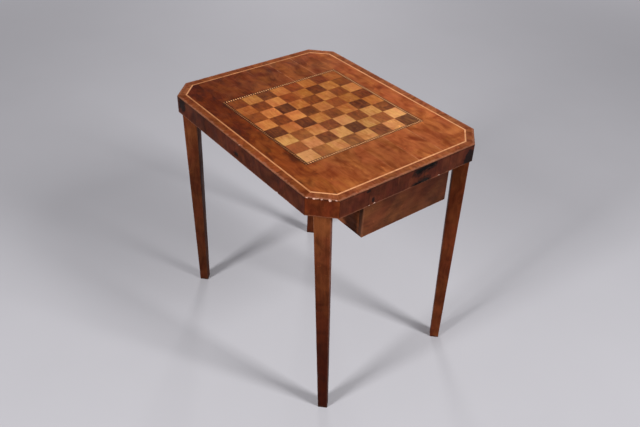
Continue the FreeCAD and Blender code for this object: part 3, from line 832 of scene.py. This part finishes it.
def plain_wood(name, deep, pale, direction, rough=0.70, dirt=0.35):
    """Wood with little or no polish: planed, dusty and darker in places."""
    finish = Finish(name)
    place = along_grain(finish, direction)
    tone, fibres = figure(finish, place, streak=0.009, cloud=0.050, shares=(1.5, 0.8, 0.7))
    colour = finish.blend(finish.step(tone, 0.10, 0.90), deep, pale)
    colour = dimmed(finish, colour, pores(finish, place, length=0.012, width=0.0008), 0.28)
    colour = dimmed(finish, colour, finish.step(finish.even_noise(0.07, 4.0), 0.45, 0.70), dirt)
    return finish.surface(colour, smooth=rough - 0.10, rough=rough + 0.10, height=fibres, depth=0.00012)


def ground_wood(name, woods, direction, edge=None):
    """Bare wood under the veneers. It is raw where a chip has gone, and blackened where veneer is torn off,
    by old glue and partly by painted shade in the hollow.
    """
    finish = Finish(name)
    z = finish.parts(finish.place)[2]
    place = along_grain(finish, direction)
    tone, fibres = figure(finish, place, streak=0.009, cloud=0.050, shares=(1.4, 0.8, 0.7))
    colour = finish.blend(finish.step(tone, 0.10, 0.90), woods.bare_deep, woods.bare_pale)
    outer = finish.step(from_outline(finish), VENEER + 0.004, VENEER + 0.001)
    raw = finish.scaled(woods.raw_chip, finish.between(tone, 0.75, 1.15))
    colour = finish.blend(outer, colour, raw)
    if edge:
        run = along_edge(finish, edge)
        for mark in TORN_VENEER[edge]:
            # Blackened glue, and partly painted shade in the hollow, where veneer is torn off
            torn_glue_and_shade = mark_share(finish, run, z, larger(mark, 1.6, 2.2), rough=0.6)
            colour = partly(finish, colour, finish.times(torn_glue_and_shade, outer), 0.985, woods.scorch)
    return finish.surface(colour, smooth=0.62, rough=0.80, height=fibres, depth=0.00012)


def old_steel(name, woods):
    """Dull steel with brown rust in its hollows."""
    finish = Finish(name)
    wear = finish.even_noise(0.0016, 4.0)
    rust = finish.step(wear, 0.42, 0.66)
    colour = finish.blend(rust, woods.steel, RUST)
    finish.feed(finish.shader.inputs["Metallic"], finish.between(rust, 1.0, 0.1))
    return finish.surface(colour, smooth=0.38, rough=0.70, height=wear, depth=0.00006, gloss=0.5)


def seen_share(nodes, links):
    """Share that is 1 for what the camera sees directly, mirrored or through glass."""
    ray = nodes.new("ShaderNodeLightPath")
    share = ray.outputs["Is Camera Ray"]
    for kind in ("Is Glossy Ray", "Is Transmission Ray"):
        either = nodes.new("ShaderNodeMath")
        links.new(share, either.inputs[0])
        links.new(ray.outputs[kind], either.inputs[1])
        share = either.outputs[0]
    return share


def floor_paint(name, studio):
    """Plain matt floor, pale where it is seen, that fades into the backdrop far from the table."""
    finish = Finish(name)
    x, y, _ = finish.parts(finish.place)
    far = finish.step(finish.radius(x, y), FLOOR_FADE_START, FLOOR_FADE_END)
    tone = finish.even_noise(0.4, 3.0)
    seen = seen_share(finish.nodes, finish.links)
    shade = finish.blend(seen, studio.floor_bounce, studio.floor)
    shade = finish.scaled(shade, finish.between(tone, 0.97, 1.03))
    glow = finish.times(finish.times(far, seen), studio.backdrop)
    finish.shader.inputs["Emission Color"].default_value = BACKDROP_COLOUR
    finish.feed(finish.shader.inputs["Emission Strength"], glow)
    shade = dimmed(finish, shade, far, 1.0)
    return finish.surface(shade, smooth=0.75, rough=0.85, height=tone, depth=0.0001)


def dress(material, *names):
    """Give CAD nodes a finish."""
    for name in names:
        slots = NODES[name].data.materials
        slots.clear()
        slots.append(material)


def select_only(*pieces):
    """Select these pieces and nothing else, the first one active."""
    bpy.ops.object.select_all(action="DESELECT")
    for piece in pieces:
        piece.select_set(True)
    bpy.context.view_layer.objects.active = pieces[0]


def settle(piece):
    """Put the piece's place, turn and size into its mesh."""
    select_only(piece)
    bpy.ops.object.transform_apply(location=True, rotation=True, scale=True)


def block(low, high):
    """Cube primitive at the size and place of a box."""
    low = Vector(low)
    high = Vector(high)
    bpy.ops.object.select_all(action="DESELECT")
    bpy.ops.mesh.primitive_cube_add(size=1.0, location=(low + high) / 2, scale=high - low)
    piece = bpy.context.object
    settle(piece)
    return piece


def join_pieces(pieces):
    """Make several pieces one."""
    select_only(*pieces)
    if len(pieces) > 1:
        bpy.ops.object.join()
    return bpy.context.object


def edit_edges(piece, chosen):
    """Enter edit mode with only those edges selected whose two ends pass a test."""
    select_only(piece)
    bpy.ops.object.mode_set(mode="EDIT")
    bpy.ops.mesh.select_mode(type="EDGE")
    bpy.ops.mesh.select_all(action="DESELECT")
    bpy.ops.object.mode_set(mode="OBJECT")
    points = piece.data.vertices
    for edge in piece.data.edges:
        first, second = (points[index].co for index in edge.vertices)
        edge.select = chosen(first, second)
    bpy.ops.object.mode_set(mode="EDIT")


def edit_all(piece):
    """Enter edit mode with the whole piece selected."""
    select_only(piece)
    bpy.ops.object.mode_set(mode="EDIT")
    bpy.ops.mesh.select_all(action="SELECT")


def leave_edit():
    """Go back to object mode."""
    bpy.ops.object.mode_set(mode="OBJECT")


def round_edges(piece, chosen, width):
    """Round those edges of a piece whose two ends pass a test."""
    edit_edges(piece, chosen)
    bpy.ops.mesh.bevel(offset=width, segments=ROUND_STEPS, affect="EDGES")
    leave_edit()


def face_outwards(piece):
    """Turn all faces of a closed piece outwards."""
    edit_all(piece)
    bpy.ops.mesh.normals_make_consistent(inside=False)
    leave_edit()


def rough_chips(places, depth):
    """Rough lumps at (along, level, half length, half height), to be cut out of a veneer."""
    lumps = []
    for number, (along, level, reach, rise) in enumerate(places):
        bpy.ops.object.select_all(action="DESELECT")
        bpy.ops.mesh.primitive_ico_sphere_add(
            subdivisions=2, radius=1.0, location=(along, 0.0, level), scale=(reach, depth, rise))
        lump = bpy.context.object
        settle(lump)
        edit_all(lump)
        bpy.ops.transform.vertex_random(offset=min(reach, rise) * CHIP_ROUGHNESS, seed=number)
        leave_edit()
        lumps.append(lump)
    return join_pieces(lumps)


def drop_crumbs(piece):
    """Remove the crumbs and empty faces that a cut leaves, and give back the rest as one piece."""
    edit_all(piece)
    bpy.ops.mesh.dissolve_degenerate(threshold=TOUCH)
    bpy.ops.mesh.select_all(action="SELECT")
    bpy.ops.mesh.separate(type="LOOSE")
    leave_edit()
    kept = []
    for part in bpy.context.selected_objects:
        if max(part.dimensions) > CRUMB_SIZE:
            kept.append(part)
        else:
            bpy.data.objects.remove(part)
    return join_pieces(kept)


def cut_out(piece, cutter):
    """Cut one mesh out of another, remove the cutter and give back what is left."""
    modifier = piece.modifiers.new("chips", "BOOLEAN")
    modifier.operation = "DIFFERENCE"
    modifier.solver = "EXACT"
    modifier.use_self = True
    modifier.object = cutter
    select_only(piece)
    bpy.ops.object.modifier_apply(modifier=modifier.name)
    bpy.data.objects.remove(cutter)
    return drop_crumbs(piece)


def small_chips(edge, spacing):
    """Scattered small chips along the top and the foot of an edge."""
    run = EDGES[edge][2]
    scatter = random.Random(edge)
    places = []
    for level in (TOP_LEVEL, FRIEZE_BASE):
        for _ in range(round(run / spacing)):
            along = scatter.uniform(-0.48, 0.48) * run
            reach = scatter.uniform(*CHIP_REACH)
            places.append((along, level, reach, reach * scatter.uniform(0.4, 0.8)))
    return places


def veneer_strip(edge, wear, depth, low, high, leaf_length):
    """Veneer along one edge of the top, in leaves, mitred, rounded and chipped, in its place."""
    turn, (x, y), run = EDGES[edge]
    leaf = even_leaf(run, leaf_length)
    pieces = []
    for number in range(round(run / leaf)):
        start = -run / 2 + number * leaf + wear.joint_gap / 2
        pieces.append(block((start, 0, low), (start + leaf - wear.joint_gap, depth, high)))
    strip = join_pieces(pieces)
    bpy.ops.object.mode_set(mode="EDIT")
    for end in (-1, 1):
        bpy.ops.mesh.select_all(action="SELECT")
        bpy.ops.mesh.bisect(
            plane_co=(end * (run - wear.joint_gap) / 2, 0, 0),
            plane_no=(end * math.sin(MITRE), math.cos(MITRE), 0),
            use_fill=True, clear_outer=True)
    leave_edit()
    if high > VENEER_BASE + VENEER / 2:
        def on_arris(first, second):
            return max(first.y, second.y) < TOUCH and min(first.z, second.z) > high - TOUCH

        round_edges(strip, on_arris, wear.arris_round)
    chips = CHIPS.get(edge, []) + TORN_VENEER.get(edge, []) + small_chips(edge, wear.chip_spacing)
    strip = cut_out(strip, rough_chips(chips, CHIP_DEPTH))
    strip.rotation_euler.z = math.radians(turn)
    strip.location = (x, y, 0)
    settle(strip)
    return strip


def stand_for(piece, body, material, node):
    """Name a new piece after a CAD node, give it its finish and show it instead of the node."""
    piece.name = node + "_worn"
    piece.data.name = piece.name
    piece.data.materials.clear()
    piece.data.materials.append(material)
    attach(piece, body)
    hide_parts(node)


def leg_section(corner, level):
    """Middle and half width of a leg or its tenon at one level, from its solid, as if it stood at +X +Y."""
    points = []
    for vertex in NODES["leg_" + corner].data.vertices:
        if abs(vertex.co.z - level) < NEAR:
            points.append(Vector((abs(vertex.co.x), abs(vertex.co.y), level)))
    middle = Vector((0, 0, level))
    for axis in (0, 1):
        values = [point[axis] for point in points]
        middle[axis] = (min(values) + max(values)) / 2
    half = max((point.x - middle.x + point.y - middle.y) * DIAGONAL for point in points)
    return middle, half


def model_leg(corner, wear):
    """Tapered square leg at +X +Y, turned to its corner, with its tenon and slightly uneven faces."""
    foot, foot_half = leg_section(corner, 0.0)
    head, head_half = leg_section(corner, FRIEZE_BASE)
    _, tenon_half = leg_section(corner, TENON_TOP)
    leg = block((-head_half, -head_half, 0), (head_half, head_half, FRIEZE_BASE))
    leg.rotation_euler.z = math.radians(45)
    leg.location = (head.x, head.y, 0)
    settle(leg)
    edit_edges(leg, lambda a, b: max(a.z, b.z) < TOUCH)
    share = foot_half / head_half
    bpy.ops.transform.resize(value=(share, share, 1), center_override=(head.x, head.y, 0))
    bpy.ops.transform.translate(value=(foot.x - head.x, foot.y - head.y, 0))
    leave_edit()

    def upright(first, second):
        return abs(first.z - second.z) > FRIEZE_BASE / 2

    round_edges(leg, upright, wear.leg_round)
    edit_edges(leg, upright)
    bpy.ops.mesh.subdivide(number_cuts=LEG_CUTS)
    bpy.ops.mesh.select_all(action="DESELECT")
    leave_edit()
    edit_edges(leg, lambda a, b: LEG_END < min(a.z, b.z) and max(a.z, b.z) < FRIEZE_BASE - LEG_END)
    bpy.ops.transform.vertex_random(offset=wear.leg_waver, normal=1.0, seed=LEG_SEED)
    leave_edit()
    edit_edges(leg, lambda a, b: min(a.z, b.z) > FRIEZE_BASE - TOUCH)
    bpy.ops.mesh.inset(thickness=head_half - tenon_half)
    bpy.ops.mesh.extrude_region_move(TRANSFORM_OT_translate={"value": (0, 0, TENON_TOP - FRIEZE_BASE)})
    leave_edit()
    face_outwards(leg)
    bpy.ops.object.shade_smooth_by_angle(angle=SMOOTH_ANGLE)
    return leg


def own_copy(piece):
    """Copy of a piece with a mesh of its own."""
    twin = piece.copy()
    twin.data = piece.data.copy()
    bpy.context.scene.collection.objects.link(twin)
    return twin


def into_quarter(piece, corner):
    """Mirror a piece modelled at +X +Y into its own quarter of the table."""
    piece.scale = (*QUARTERS[corner], 1)
    settle(piece)
    face_outwards(piece)


def merged_copy(node):
    """Copy of a CAD node with its loose triangles merged into whole faces."""
    piece = bpy.data.objects.new(node + "_worn", NODES[node].data.copy())
    bpy.context.scene.collection.objects.link(piece)
    select_only(piece)
    bpy.ops.mesh.customdata_custom_splitnormals_clear()
    edit_all(piece)
    bpy.ops.mesh.remove_doubles(threshold=TOUCH)
    bpy.ops.mesh.dissolve_limited(angle_limit=math.radians(1))
    leave_edit()
    return piece


def round_arrises(piece, low, high, axes, width):
    """Round those arrises of a piece's outer box that run along the given axes."""
    def on_arris(first, second):
        run = max(range(3), key=lambda axis: abs(second[axis] - first[axis]))
        across = [axis for axis in range(3) if axis != run]
        for axis in across:
            spans = [(abs(first[axis] - side), abs(second[axis] - side)) for side in (low[axis], high[axis])]
            if min(max(span) for span in spans) > NEAR:
                return False
        return run in axes

    round_edges(piece, on_arris, width)
    bpy.ops.object.shade_smooth_by_angle(angle=SMOOTH_ANGLE)


class TableOperator(bpy.types.Operator):
    """Base of the table's operators."""

    bl_options = {"REGISTER", "UNDO"}

    @staticmethod
    def settings(context):
        """Woods, wear and studio of the scene."""
        scene = context.scene
        return scene.chess_table_woods, scene.chess_table_wear, scene.chess_table_studio


class CHESSTABLE_OT_carcase(TableOperator):
    """Finish the core, rails, corner blocks, glue blocks, runners and stops"""

    bl_idname = "chess_table.carcase"
    bl_label = "Carcase"

    def execute(self, context):
        woods, _, _ = self.settings(context)
        dress(ground_wood("core_board", woods, "length", "drawer_end"), "top_core")
        dress(ground_wood("drawer_end_rail", woods, "width", "drawer_end"), "rail_drawer_end")
        dress(ground_wood("left_rail", woods, "length", "left"), "rail_left")
        dress(ground_wood("right_rail", woods, "length"), "rail_right")
        dress(ground_wood("far_end_rail", woods, "width"), "rail_far_end")
        corner_nodes = ["corner_block_" + corner for corner in CORNERS]
        dress(ground_wood("corner_blocks", woods, "length"), *corner_nodes)
        bare = plain_wood("runner_wood", woods.bare_deep, woods.bare_pale, "length")
        dress(bare, "runner_left", "runner_right", "glue_blocks", "drawer_stops")
        return {"FINISHED"}


class CHESSTABLE_OT_top_veneers(TableOperator):
    """Finish the field and the stringing, and model the worn crossbanding"""

    bl_idname = "chess_table.top_veneers"
    bl_label = "Top veneers"

    def execute(self, context):
        woods, wear, _ = self.settings(context)
        for side in SIDES:
            dress(field_veneer("field_" + side, woods, side), "field_veneer_" + side)
            # Painted shade darkens the lines and bands on the left and at the far end
            line = stringing("boxwood_line_" + side, woods, STRING_SHADE.get(side, UNTINTED))
            dress(line, "stringing_" + side)
            strip = veneer_strip(side, wear, BAND_WIDTH, VENEER_BASE, TOP_LEVEL, BAND_LEAF)
            grain = "length" if side.endswith("end") else "width"
            band = crossbanding("crossbanding_" + side, woods, grain, BAND_SHADE.get(side, UNTINTED))
            stand_for(strip, "table", band, "crossbanding_" + side)
        dress(stringing("boxwood_line_corners", woods), "stringing_corners")
        strips = []
        for corner in CORNERS:
            strips.append(veneer_strip(corner, wear, BAND_WIDTH, VENEER_BASE, TOP_LEVEL, BAND_LEAF))
        band = crossbanding("crossbanding_corner", woods, "outward")
        stand_for(join_pieces(strips), "table", band, "crossbanding_corners")
        return {"FINISHED"}


class CHESSTABLE_OT_board(TableOperator):
    """Finish the squares and the banding of the board"""

    bl_idname = "chess_table.board"
    bl_label = "Board"

    def execute(self, context):
        woods, _, _ = self.settings(context)
        dress(board_squares("light_square", woods.light_deep, woods.light_pale, 0.48), "light_squares")
        dress(board_squares("dark_square", woods.dark_deep, woods.dark_pale, 0.50), "dark_squares")
        dress(banding("pale_banding", woods.block_pale, 0.18), "banding_light_blocks")
        dark_nodes = ("banding_dark_blocks", "banding_inner_line", "banding_outer_line")
        dress(banding("dark_banding", woods.block_dark, 0.30), *dark_nodes)
        return {"FINISHED"}


class CHESSTABLE_OT_frieze(TableOperator):
    """Model the worn veneers of the frieze, on the four sides and the four canted corners"""

    bl_idname = "chess_table.frieze"
    bl_label = "Frieze"

    def execute(self, context):
        woods, wear, _ = self.settings(context)
        for edge in EDGES:
            strip = veneer_strip(edge, wear, VENEER, FRIEZE_BASE, VENEER_BASE, FRIEZE_LEAF)
            node = ("frieze_veneer_" if edge in SIDES else "corner_veneer_") + edge
            stand_for(strip, "table", frieze_veneer("frieze_" + edge, woods, edge), node)
        return {"FINISHED"}


class CHESSTABLE_OT_legs(TableOperator):
    """Model the four tapered legs"""

    bl_idname = "chess_table.legs"
    bl_label = "Legs"

    def execute(self, context):
        woods, wear, _ = self.settings(context)
        alike = model_leg("drawer_right", wear)
        legs = {"drawer_right": alike, "far_right": own_copy(alike), "far_left": own_copy(alike)}
        for corner, leg in legs.items():
            into_quarter(leg, corner)
            # Each leg takes its own painted light and shade
            wood = leg_wood(corner + "_leg", woods, "drawer_right", LEG_LIGHT_AND_SHADE[corner])
            stand_for(leg, "table", wood, "leg_" + corner)
        loose = model_leg(LOOSE_LEG, wear)
        into_quarter(loose, LOOSE_LEG)
        loose_wood = leg_wood("loose_leg", woods, LOOSE_LEG, LEG_LIGHT_AND_SHADE[LOOSE_LEG])
        stand_for(loose, "table", loose_wood, "leg_" + LOOSE_LEG)
        return {"FINISHED"}


class CHESSTABLE_OT_drawer(TableOperator):
    """Model the drawer's worn front, sides and back, and finish its bottom and cleats"""

    bl_idname = "chess_table.drawer"
    bl_label = "Drawer"

    def execute(self, context):
        woods, wear, _ = self.settings(context)
        front = drawer_front_wood("drawer_front_wood", woods)
        side = plain_wood("drawer_side_wood", woods.side_deep, woods.side_pale, "length", 0.55)
        back = plain_wood("drawer_back_wood", woods.bare_deep, woods.bare_pale, "width")
        for node, slot, material, axes in (
                ("drawer_front", "drawer_front_mahogany", front, (0, 1, 2)),
                ("drawer_left_side", "drawer_side_wood", side, (0,)),
                ("drawer_right_side", "drawer_side_wood", side, (0,)),
                ("drawer_back", "drawer_lining_wood", back, (1,))):
            piece = merged_copy(node)
            round_arrises(piece, *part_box(node), axes, wear.drawer_round)
            stand_for(piece, "drawer", material, node)
        dress(back, "drawer_bottom")
        lining = plain_wood("drawer_cleat_wood", woods.bare_deep, woods.bare_pale, "length")
        dress(lining, "drawer_left_cleat", "drawer_right_cleat")
        return {"FINISHED"}


class CHESSTABLE_OT_fasteners(TableOperator):
    """Finish the screws and nails"""

    bl_idname = "chess_table.fasteners"
    bl_label = "Fasteners"

    def execute(self, context):
        woods, _, _ = self.settings(context)
        dress(old_steel("old_steel", woods), "runner_screws", "drawer_bottom_nails", "drawer_cleat_nails")
        return {"FINISHED"}


def direction_from(azimuth, elevation):
    """Direction towards a viewer or lamp that stands at an azimuth and elevation."""
    level = math.cos(elevation)
    return Vector((math.sin(azimuth) * level, -math.cos(azimuth) * level, math.sin(elevation)))


def aim(place, target):
    """Matrix of a lamp at a place that shines on a target."""
    turn = (place - target).to_track_quat("Z", "Y")
    return Matrix.Translation(place) @ turn.to_matrix().to_4x4()


def studio_world(studio):
    """World with a weak even light, and a paler backdrop where it is seen or mirrored."""
    world = bpy.data.worlds.new("studio")
    world.use_nodes = True
    nodes = world.node_tree.nodes
    links = world.node_tree.links
    strength = nodes.new("ShaderNodeMapRange")
    links.new(seen_share(nodes, links), strength.inputs["Value"])
    strength.inputs["To Min"].default_value = studio.ambient
    strength.inputs["To Max"].default_value = studio.backdrop
    background = nodes["Background"]
    background.inputs["Color"].default_value = BACKDROP_COLOUR
    links.new(strength.outputs[0], background.inputs["Strength"])
    return world


class CHESSTABLE_OT_stage(TableOperator):
    """Set up the floor, the lamps, the even light and the camera"""

    bl_idname = "chess_table.stage"
    bl_label = "Stage"

    def execute(self, context):
        _, _, studio = self.settings(context)
        scene = context.scene
        scene.view_settings.view_transform = "Standard"
        self.lay_floor(studio)
        self.light(scene, studio)
        self.place_camera(scene, studio)
        return {"FINISHED"}

    def lay_floor(self, studio):
        """Large plane under the feet."""
        bpy.ops.object.select_all(action="DESELECT")
        bpy.ops.mesh.primitive_plane_add(size=FLOOR_SIZE)
        floor = bpy.context.object
        floor.name = "floor"
        floor.data.materials.append(floor_paint("floor_paint", studio))

    def light(self, scene, studio):
        """Two lamps in front, a weaker one behind that leaves no glare, and even light from all round."""
        scene.world = studio_world(studio)
        middle = Vector((0, 0, TOP_LEVEL / 2))
        for name, azimuth, rise, power in (
                ("left_key", studio.left_key, studio.left_rise, studio.key_power),
                ("right_key", studio.right_key, studio.right_rise, studio.key_power),
                ("back_fill", studio.fill_key, studio.fill_rise, studio.fill_power)):
            lamp = bpy.data.lights.new(name, "AREA")
            lamp.shape = "RECTANGLE"
            lamp.size = studio.lamp_width
            lamp.size_y = studio.lamp_height
            lamp.energy = power
            lamp.spread = studio.lamp_spread
            holder = bpy.data.objects.new(name, lamp)
            scene.collection.objects.link(holder)
            holder.visible_camera = False
            holder.visible_glossy = name != "back_fill"
            place = middle + direction_from(azimuth, rise) * studio.lamp_distance
            holder.matrix_world = aim(place, middle)

    def place_camera(self, scene, studio):
        """Camera at the viewing angle."""
        lens = bpy.data.cameras.new("camera")
        lens.sensor_width = SENSOR_WIDTH
        lens.lens = studio.lens
        camera = bpy.data.objects.new("camera", lens)
        scene.collection.objects.link(camera)
        back = direction_from(studio.azimuth, studio.elevation)
        right = Vector((math.cos(studio.azimuth), math.sin(studio.azimuth), 0))
        level = Matrix((right, back.cross(right), back)).transposed().to_4x4()
        place = Vector(studio.target) + back * studio.distance
        camera.matrix_world = Matrix.Translation(place) @ level @ Matrix.Rotation(studio.roll, 4, "Z")
        scene.camera = camera


PIECE_OPERATORS = (
    CHESSTABLE_OT_carcase,
    CHESSTABLE_OT_top_veneers,
    CHESSTABLE_OT_board,
    CHESSTABLE_OT_frieze,
    CHESSTABLE_OT_legs,
    CHESSTABLE_OT_drawer,
    CHESSTABLE_OT_fasteners,
    CHESSTABLE_OT_stage,
)


class CHESSTABLE_PT_panel(bpy.types.Panel):
    """Settings and steps of the chess table"""

    bl_idname = "CHESSTABLE_PT_panel"
    bl_label = "Chess Table"
    bl_space_type = "VIEW_3D"
    bl_region_type = "UI"
    bl_category = "Chess Table"

    def draw(self, context):
        for settings in TableOperator.settings(context):
            box = self.layout.box()
            for name in settings.__annotations__:
                box.prop(settings, name)
        for operator in PIECE_OPERATORS:
            self.layout.operator(operator.bl_idname)


CLASSES = (ChessTableWoods, ChessTableWear, ChessTableStudio, *PIECE_OPERATORS, CHESSTABLE_PT_panel)


def register():
    """Register the classes and their settings."""
    for item in CLASSES:
        bpy.utils.register_class(item)
    bpy.types.Scene.chess_table_woods = bpy.props.PointerProperty(type=ChessTableWoods)
    bpy.types.Scene.chess_table_wear = bpy.props.PointerProperty(type=ChessTableWear)
    bpy.types.Scene.chess_table_studio = bpy.props.PointerProperty(type=ChessTableStudio)


def unregister():
    """Remove the settings and the classes."""
    del bpy.types.Scene.chess_table_studio
    del bpy.types.Scene.chess_table_wear
    del bpy.types.Scene.chess_table_woods
    for item in reversed(CLASSES):
        bpy.utils.unregister_class(item)


def main():
    """Register the table's classes, make every piece and set up the stage."""
    register()
    bpy.ops.chess_table.carcase()
    bpy.ops.chess_table.top_veneers()
    bpy.ops.chess_table.board()
    bpy.ops.chess_table.frieze()
    bpy.ops.chess_table.legs()
    bpy.ops.chess_table.drawer()
    bpy.ops.chess_table.fasteners()
    bpy.ops.chess_table.stage()


if __name__ == "__main__":
    main()
